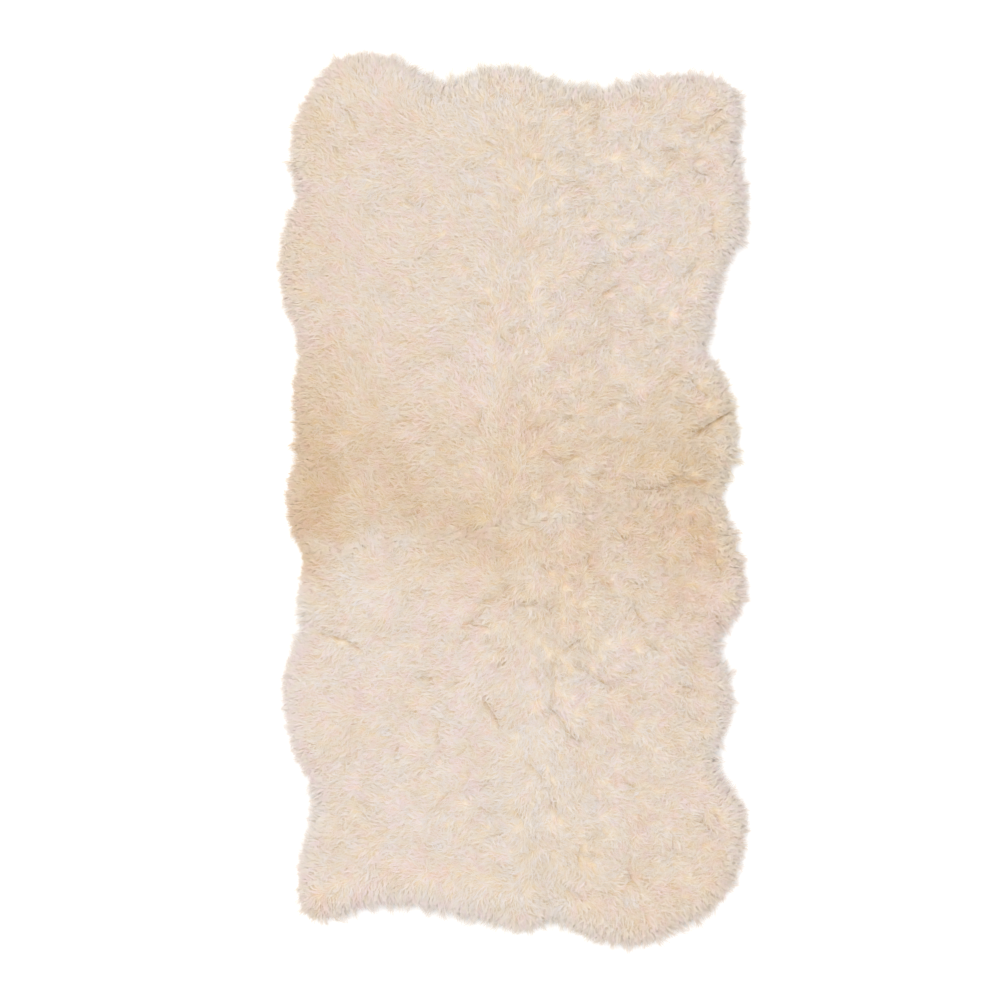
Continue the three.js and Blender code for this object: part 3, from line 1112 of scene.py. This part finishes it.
def ribbons(paths, width, roll, normal, even):
    """Ribbons along paths (n, steps, 3), pointed at both ends, with normals as round as wool's:
    points, triangles, normals, and where each point is along and across."""
    count, steps, _ = paths.shape
    tangent = unit(np.gradient(paths, axis=1))
    side = unit(np.cross(tangent, normal[:, None]))
    lift = np.cross(side, tangent)
    rolled = side * np.cos(roll)[:, None, None] + lift * np.sin(roll)[:, None, None]
    facing = lift * np.cos(roll)[:, None, None] - side * np.sin(roll)[:, None, None]
    t = np.linspace(0, 1, steps)
    evenness = even[:, None, None] * (ROOT_EVENNESS + (1 - ROOT_EVENNESS) * t)[:, None]
    facing = unit(facing + evenness * normal[:, None])
    taper = (1.05 - t**2.5)[1:-1]
    half = 0.5 * width[:, None, None] * taper[None, :, None] * rolled[:, 1:-1]
    body = np.stack([paths[:, 1:-1] - half, paths[:, 1:-1] + half], axis=2).reshape(count, -1, 3)
    points = np.concatenate([paths[:, :1], body, paths[:, -1:]], axis=1)
    leaning = [unit(facing[:, 1:-1] + turn * rolled[:, 1:-1]) for turn in (-ROUND, ROUND)]
    leaning = np.stack(leaning, axis=2).reshape(count, -1, 3)
    normals = np.concatenate([facing[:, :1], leaning, facing[:, -1:]], axis=1)
    pairs = steps - 2
    pattern = [(0, 2, 1)]
    for k in range(pairs - 1):
        a, b, c, d = 2 * k + 1, 2 * k + 2, 2 * k + 4, 2 * k + 3
        pattern += [(a, b, c), (a, c, d)]
    pattern.append((2 * pairs - 1, 2 * pairs, 2 * pairs + 1))
    faces = np.array(pattern)[None] + (np.arange(count) * (2 * pairs + 2))[:, None, None]
    along = np.concatenate([[0.0], np.repeat(t[1:-1], 2), [1.0]])
    side = np.concatenate([[0.0], np.tile([-1.0, 1.0], pairs), [0.0]])
    return points, faces, normals, along, side


def colour_map(piece, tone, hue, along, side):
    """Gives wisps a flat map, named OFBake, on which each lies, a hair wide, at its own tone
    and hue. The export bakes colours to a map of this name."""
    corner = np.empty(len(piece.data.loops), dtype=np.int32)
    piece.data.loops.foreach_get("vertex_index", corner)
    u = MAP_MARGIN + MAP_TONES * np.clip(tone, 0, 1) + MAP_WISP_LENGTH * (1 - along)
    v = MAP_MARGIN + MAP_HUES * np.clip(hue, 0, 1) + MAP_WISP_HALF * side
    flat = piece.data.uv_layers.new(name="OFBake")
    flat.data.foreach_set("uv", np.column_stack([u, v])[corner].astype(np.float32).ravel())


def wisps(pelt, part, made, tip_tone, root_stain_and_shade, fade, hue):
    """A piece of a pelt's wool from ribbons: each one's tone at its tip, how much deeper it
    is at its root, in stain and painted shade, how fast that fades, and its hue."""
    corners, triangles, facing, along, side = made
    name = f"{pelt}_{part}_wool"
    piece = mesh_object(name, corners.reshape(-1, 3), triangles.reshape(-1, 3), fleece)

    # A mesh takes its normals from the attribute of this name.
    normals = piece.data.attributes.new("custom_normal", "FLOAT_VECTOR", "POINT")
    normals.data.foreach_set("vector", facing.astype(np.float32).ravel())
    stain_and_shade = np.reshape(root_stain_and_shade, (-1, 1)) * (1 - along) ** fade
    tone = (tip_tone[:, None] + stain_and_shade).ravel()
    hue = np.repeat(hue, len(along))
    paint(piece, tone, hue)
    colour_map(piece, tone, hue, np.tile(along, len(corners)), np.tile(side, len(corners)))
    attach(piece, "root")
    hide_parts(f"{pelt}_pelt")
    return piece


fleece = wool_material("fleece", crimp=0.2)
wools = {}
for seed, pelt in enumerate(PELTS):
    rng = np.random.default_rng(300 + seed)
    mat = mats[pelt]
    count = WISPS_PER_PELT[pelt]
    face, weights = sown(mat, mat["need"], count, rng)
    root = spread(mat, mat["points"], face, weights)
    normal = unit(spread(mat, normals_over(mat), face, weights))
    edge, outward, seam, notch = (
        spread(mat, mat[key], face, weights) for key in ("edge", "outward", "seam", "notch")
    )
    x, y = root[:, 0], root[:, 1]
    curl = curl_of(x, y)
    at_rim = 1 - smooth(edge, 0.0, RIM_BAND)

    # The lock and the tuft that each wisp stands in, and what its lock's wisps share.
    locks = mat["locks"]
    lock, _ = nearest(root[:, :2], tree_of(locks))
    plan = mat["points"][:, :2]
    tufts = scattered(plan.min(axis=0), plan.max(axis=0), TUFT_STEP, rng, LOCK_JITTER)
    tuft, _ = nearest(root[:, :2], tree_of(tufts))
    lock_turn = rng.normal(0, LOCK_TURN, len(locks))[lock] * (1.1 + 0.6 * curl)
    tuft_turn = rng.normal(0, TUFT_TURN, len(tufts))[tuft] * (1.0 + 0.3 * curl)
    lock_rise = rng.normal(0, 1, len(locks))[lock]
    lock_long = rng.normal(1, LENGTH_BY_LOCK, len(locks))[lock]
    tuft_phase = rng.uniform(0, 2 * math.pi, len(tufts))[tuft]
    tuft_wave = rng.uniform(*CRIMP_WAVE, len(tufts))[tuft]
    lock_tone = rng.normal(0, 1, len(locks))[lock]
    tuft_tone = rng.normal(0, 1, len(tufts))[tuft]
    lock_hue = rng.normal(0, 1, len(locks))[lock]

    # Which way it leans, and how it bends from its root's way to its tip's.
    lay = lay_of_wool(pelt, root[:, :2], edge, outward, seam)
    stray = (rng.uniform(0, 1, count) < STRAY_SHARE) * rng.normal(0, STRAY_TURN, count)
    lay = turned(lay, lock_turn + tuft_turn + stray + rng.normal(0, WISP_TURN, count))
    lay = np.column_stack([lay, np.zeros(count)])
    off_notch = smooth(notch, 0.0, NOTCH_BAND)
    long = lock_long * rng.normal(1, LENGTH_BY_WISP, count)
    long -= RIM_SHORTER * (at_rim * off_notch)
    long *= WISP_LENGTH
    long *= 1 - NOTCH_SHORTER * (1 - off_notch) * at_rim
    rise = WISP_RISE + RISE_BY_LOCK * lock_rise + rng.normal(0, RISE_BY_WISP, count)
    start_way = unit(normal * rise[:, None] + WISP_LEAN * lay)
    unruly = rng.normal(0, TIP_UNRULY, (count, 3))
    end_way = unit(normal * TIP_RISE + lay + TIP_DROOP + unruly)
    path = bent(root - normal * WISP_ROOT_DEPTH, start_way, end_way, long)

    # Tips close up on the middle of their tuft and lock, in points where the wool is spiky.
    to_lock = locks[lock] - root[:, :2]
    to_tuft = tufts[tuft] - root[:, :2]
    to_middle = (LOCK_GATHER + CURL_GATHER * curl)[:, None] * to_lock
    to_middle += TUFT_GATHER * to_tuft
    sideways = np.cross(lay, (0, 0, 1))
    off = (to_lock * sideways[:, :2]).sum(axis=1)
    to_spike = SPIKE_GATHER * (spikiness(x, y) * at_rim) * off
    to_middle += to_spike[:, None] * sideways[:, :2]
    t = np.linspace(0, 1, WISP_PARTS + 1)
    path[:, :, :2] += (t**GATHER_LATE)[None, :, None] * to_middle[:, None, :]

    # The crimp, then the partings, and last the room between the floor and the crown.
    wave = 2 * math.pi * (t[None] * long[:, None]) / tuft_wave[:, None] + tuft_phase[:, None]
    size = CRIMP_REACH + CURL_REACH * curl + REACH_BY_WISP * rng.normal(0, 1, count)
    size = size[:, None] * (0.4 + t[None])
    path += (size * np.sin(wave))[..., None] * sideways[:, None]
    path[:, :, 2] += CRIMP_RISE * size * np.cos(wave)
    keep_apart(path)
    path[:, :, 2] = kept_in_room(path[:, :, 2], rng)

    # Its tone is the fleece's own there, with painted shade by partings, and deeper at the root,
    # partly stain and partly painted shade; its hue is the same all along.
    deep, _ = parting(root[:, :2])
    stain_tone, stain_hue = stain(x, y)
    calm = RIM_CLOUDS + (1 - RIM_CLOUDS) * smooth(edge, *CALM_BAND)
    near_rim = 1 - smooth(edge, 0.0, PALER_BAND)
    tone = TIP_TONE + stain_tone + calm * (1 + 0.5 * stain_tone) * mottle(x, y)
    tone += LOCK_TONE * lock_tone + (TUFT_TONE + CURL_TUFT_TONE * curl) * tuft_tone
    # Painted shade: wisps near a parting are deeper in tone.
    tone += PARTING_PAINTED_SHADE * deep + STREAK_TONE * back_streaks(pelt, x, y) - PALER * near_rim
    tone += rng.normal(0, TONE_BY_WISP, count) - PALEST * (1 - smooth(edge, 0.0, PALEST_BAND))
    # Roots deeper in tone, partly stain and partly painted shade, with more painted shade on curls
    # and in partings and painted light along the seam.
    stain_and_shade = ROOT_STAIN_AND_SHADE + CURL_ROOT_PAINTED_SHADE * curl + PARTING_ROOT_PAINTED_SHADE * deep
    stain_and_shade -= SEAM_ROOT_PAINTED_LIGHT * np.exp(-((seam / SEAM_ROOT_REACH) ** 2))
    hue = WISP_HUE + stain_hue + hue_mottle(x, y) + LOCK_HUE * lock_hue
    hue += (ROSIER - ROSIER * curl) * near_rim
    tuft_hue = rng.normal(0, 1, len(tufts))[tuft]
    hue += TUFT_HUE * tuft_hue + rng.normal(0, HUE_BY_WISP, count)

    # Each pelt's wisps are three pieces along its length, with as many wisps in each.
    width = WISP_WIDTH * rng.uniform(*WISP_WIDTHS, count)
    roll = rng.normal(0, 1, count) * (WISP_ROLL + CURL_ROLL * curl)
    even = EVENNESS - CURL_LESS_EVEN * curl
    faces_up = FACES_UP * (1 - smooth(edge, 0.0, FACES_UP_BAND))
    upward = unit(normal + faces_up[:, None] * (0, 0, 1))
    from_rump = y * TOWARDS_END[pelt]
    bounds = np.quantile(from_rump, [0, 1 / 3, 2 / 3, 1])
    wools[pelt] = []
    for part, start, end in zip(("rump", "flank", "shoulder"), bounds[:-1], bounds[1:]):
        mine = (from_rump >= start) & (from_rump <= end)
        made = ribbons(path[mine], width[mine], roll[mine], upward[mine], even[mine])
        piece = wisps(pelt, part, made, tone[mine], stain_and_shade[mine], ROOT_FADE, hue[mine])
        wools[pelt].append(piece)


# ---------------------------------------------------------------------------------------
# The edge wool. Round the free edges the longest fibres stand out past the rest in small
# curved points, softer along the left side and spikier at the ends.
# ---------------------------------------------------------------------------------------
EDGE_WISPS = {"far": 14500, "near": 12800}
EDGE_WISP_LENGTH = 0.0210
EDGE_LENGTHS = (0.68, 0.6)  # the shortest, as a share of that, and how much more some have
INNER_LONGER = 0.35  # how much longer those are that are rooted furthest in
EDGE_WISP_WIDTH = 0.0010
EDGE_WISP_WIDTHS = (0.7, 1.3)
EDGE_ROLL = 0.3
EDGE_WISP_PARTS = 3
EDGE_EVENNESS = 4.0
# The edge wool's roots are deeper in tone, partly stain and partly painted shade.
EDGE_TONE = -0.05  # at a tip, and how much deeper it is at a root
EDGE_ROOT_STAIN_AND_SHADE = 0.08
EDGE_CLOUDS = 0.6  # how much of the clouds of tone shows
EDGE_HUE = 0.54
LOW_DOWN = (0.2, 0.7)  # up to the first share of them hang low, and none past the second
# Painted shade: the wisps that hang low, under the fleece's overhang, are deeper in tone and ashier.
LOW_PAINTED_SHADE = 0.28  # how much deeper in tone those are, and how much ashier
LOW_SHADE_ASHIER = 0.10
EDGE_FACES_OUT = (0.3, 1.8)  # how far the highest ones' normals turn out, and the lowest more
EDGE_BAND = 0.026  # how far in from the mat's rim they stand
EDGE_ROOM = (0.0165, 0.031)  # how far past the solids they may reach across and along
POINT_STEP = 0.022  # from one point of the fringe to the next
HAIR_STEP = 0.005  # and between the finer ones that it divides into
POINT_LENGTHS = 0.20  # how much a point's length varies, and a finer one's
HAIR_LENGTHS = 0.15
POINT_LONG = 1.5  # how long a point is in its middle, and how much shorter at its sides
POINT_SIDES_SHORTER = 1.2
LEAST_SPIKY = 0.35
SEAM_END_LENGTH = 0.25  # beside the seam's two ends, as a share of the length elsewhere
EDGE_TURN = 0.22  # how far a point turns aside, and each wisp in it, and how they curve
EDGE_WISP_TURN = 0.12
EDGE_CURVE = 0.3
EDGE_WISP_CURVE = 0.2
EDGE_CLIMB = (0.12, 0.38)  # how far up the lowest wisps set out, and how much more the highest
CLIMB_BY_WISP = 0.10
EDGE_FALL = (2.3, 1.3)  # how far the lowest tips turn down, and how much less the highest
EDGE_WAVE = 0.022  # the length of one wave of it, and how far that leads to the side
EDGE_WAVE_SIZE = 0.0012
LEFT_SHORTER = 0.3  # how much shorter it is down the left side
POINT_GATHER = 0.9  # how far its tips close up on the middle of a point, and of a finer one
HAIR_GATHER = 0.6
EDGE_ROOT_DEPTH = (0, 0, 0.001)
FINE_SHARE = 0.30  # of the wisps are finer and longer than the rest
FINE_LONGER = 1.4
FINE_LONGER_AT_ENDS = 0.5
FINE_WIDTH = 0.5
FINE_FALL = 0.7

for seed, pelt in enumerate(PELTS):
    rng = np.random.default_rng(500 + seed)
    count = EDGE_WISPS[pelt]
    mat = mats[pelt]
    rim = mat["rim"]
    in_band = 1 - smooth(mat["edge"], 0.45 * EDGE_BAND, EDGE_BAND)
    face, weights = sown(mat, in_band, count, rng)
    root, edge, notch = (spread(mat, mat[key], face, weights) for key in ("points", "edge", "notch"))
    place = root[:, :2]
    at_end = smooth(np.abs(place[:, 1]), *SPIKY_ALONG)
    spiky = LEAST_SPIKY + (1 - LEAST_SPIKY) * spikiness(*place.T)

    # Where each wisp is round the rim, and which way is out there.
    ahead = unit(np.roll(rim, -1, axis=0) - np.roll(rim, 1, axis=0))
    index, _ = nearest(place, tree_of(rim))
    further = ((place - rim[index]) * ahead[index]).sum(axis=1)
    station = index * RIM_STEP + np.clip(further, -RIM_STEP / 2, RIM_STEP / 2)
    out = sum(np.roll(ahead, turn, axis=0) for turn in (-2, -1, 0, 1, 2))[index]
    out = unit(np.column_stack([out[:, 1], -out[:, 0]]))
    sideways = np.column_stack([-out[:, 1], out[:, 0]])

    # Each wisp belongs to a point of the fringe, and to a finer one within it.
    way_out = out
    off = []
    long = EDGE_WISP_LENGTH * (1 + INNER_LONGER * edge / EDGE_BAND)
    curve = 0
    for step, vary in ((POINT_STEP, POINT_LENGTHS), (HAIR_STEP, HAIR_LENGTHS)):
        groups = int(len(rim) * RIM_STEP / step)
        group = np.floor(station / step + rng.normal(0, 0.12, count)).astype(int) % groups
        middle = np.zeros((groups, 2))
        np.add.at(middle, group, place)
        middle /= np.bincount(group, minlength=groups)[:, None] + 1e-9
        tight = rng.uniform(0.3, 1.0, groups)[group]
        off.append(((middle[group] - place) * sideways).sum(axis=1))
        long = long * np.clip(rng.normal(1, vary, groups), 0.6, 1.35)[group]
        way_out = turned(way_out, rng.normal(0, EDGE_TURN, groups)[group])
        curve = curve + rng.normal(0, EDGE_CURVE, groups)[group]
        phase = rng.uniform(0, 2 * math.pi, groups)[group]
    off_point, off_hair = off
    way_out = turned(way_out, rng.normal(0, EDGE_WISP_TURN, count))
    along_rim = np.column_stack([-way_out[:, 1], way_out[:, 0]])
    gather = POINT_GATHER * spiky * tight * off_point + HAIR_GATHER * off_hair

    # Long in the middle of a point, short beside the seam's ends, and never past its room.
    fine = rng.uniform(0, 1, count) < FINE_SHARE
    long *= EDGE_LENGTHS[0] + EDGE_LENGTHS[1] * rng.uniform(0, 1, count) ** 2
    long *= np.where(fine, FINE_LONGER + FINE_LONGER_AT_ENDS * at_end, 1)
    to_side = np.minimum(np.abs(off_point) / (0.5 * POINT_STEP), 1)
    long *= POINT_LONG - POINT_SIDES_SHORTER * spiky * to_side
    on_left = 1 - LEFT_SHORTER * np.maximum(-out[:, 0], 0)
    off_notch = smooth(notch, 0, NOTCH_BAND)
    long *= (SEAM_END_LENGTH + (1 - SEAM_END_LENGTH) * off_notch) * on_left
    room = (cad_high.x + EDGE_ROOM[0], cad_high.y + EDGE_ROOM[1]) - np.abs(place)
    room_left = (room / np.maximum(np.abs(way_out), 0.3)).min(axis=1)
    long /= (1 + (long / room_left) ** 4) ** 0.25

    # Its path climbs from the mat, droops to its tip, and curves and waves from side to side.
    steps = EDGE_WISP_PARTS + 1
    t = np.linspace(0, 1, steps)
    height = rng.uniform(0.0, 1.0, count)
    low_down = 1 - smooth(height, *LOW_DOWN)
    climb = EDGE_CLIMB[0] + EDGE_CLIMB[1] * height + rng.normal(0, CLIMB_BY_WISP, count)
    fall = (EDGE_FALL[0] - EDGE_FALL[1] * height) * np.where(fine, FINE_FALL, 1)
    droop = climb[:, None] - fall[:, None] * t[None] ** 1.3
    bend = (curve + rng.normal(0, EDGE_WISP_CURVE, count))[:, None] * t[None] ** 1.5
    path = np.zeros((count, steps, 3))
    path[:, 0] = root - EDGE_ROOT_DEPTH
    for k in range(1, steps):
        flat_way = turned(way_out, bend[:, k])
        way = unit(np.column_stack([flat_way, droop[:, k]]))
        path[:, k] = path[:, k - 1] + way * (long / EDGE_WISP_PARTS)[:, None]
    path[:, :, :2] += (gather[:, None] * t[None] ** 1.3)[..., None] * along_rim[:, None]
    wave = 2 * math.pi * t[None] * long[:, None] / EDGE_WAVE + phase[:, None]
    path[:, :, :2] += (EDGE_WAVE_SIZE * t[None] * np.sin(wave))[..., None] * along_rim[:, None]
    path[:, :, 2] = np.maximum(path[:, :, 2], FLOOR_ROOM + 0.0010 * rng.uniform(0, 1, (count, 1)))

    outwards = (EDGE_FACES_OUT[0] + EDGE_FACES_OUT[1] * (1 - height))[:, None] * out
    facing_out = unit(np.column_stack([outwards, np.ones(count)]))
    width = EDGE_WISP_WIDTH * rng.uniform(*EDGE_WISP_WIDTHS, count)
    width *= np.where(fine, FINE_WIDTH, 1)
    roll = rng.normal(0, EDGE_ROLL, count)
    made = ribbons(path, width, roll, facing_out, np.full(count, EDGE_EVENNESS))
    stain_tone, stain_hue = stain(*place.T)
    # Painted shade: deeper and ashier where they hang low.
    tone = EDGE_TONE + stain_tone + EDGE_CLOUDS * mottle(*place.T) + LOW_PAINTED_SHADE * low_down
    hue = EDGE_HUE + stain_hue - LOW_SHADE_ASHIER * low_down
    # Its roots carry stain and painted shade.
    wools[pelt].append(wisps(pelt, "edge", made, tone, EDGE_ROOT_STAIN_AND_SHADE, 1, hue))


low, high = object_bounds()
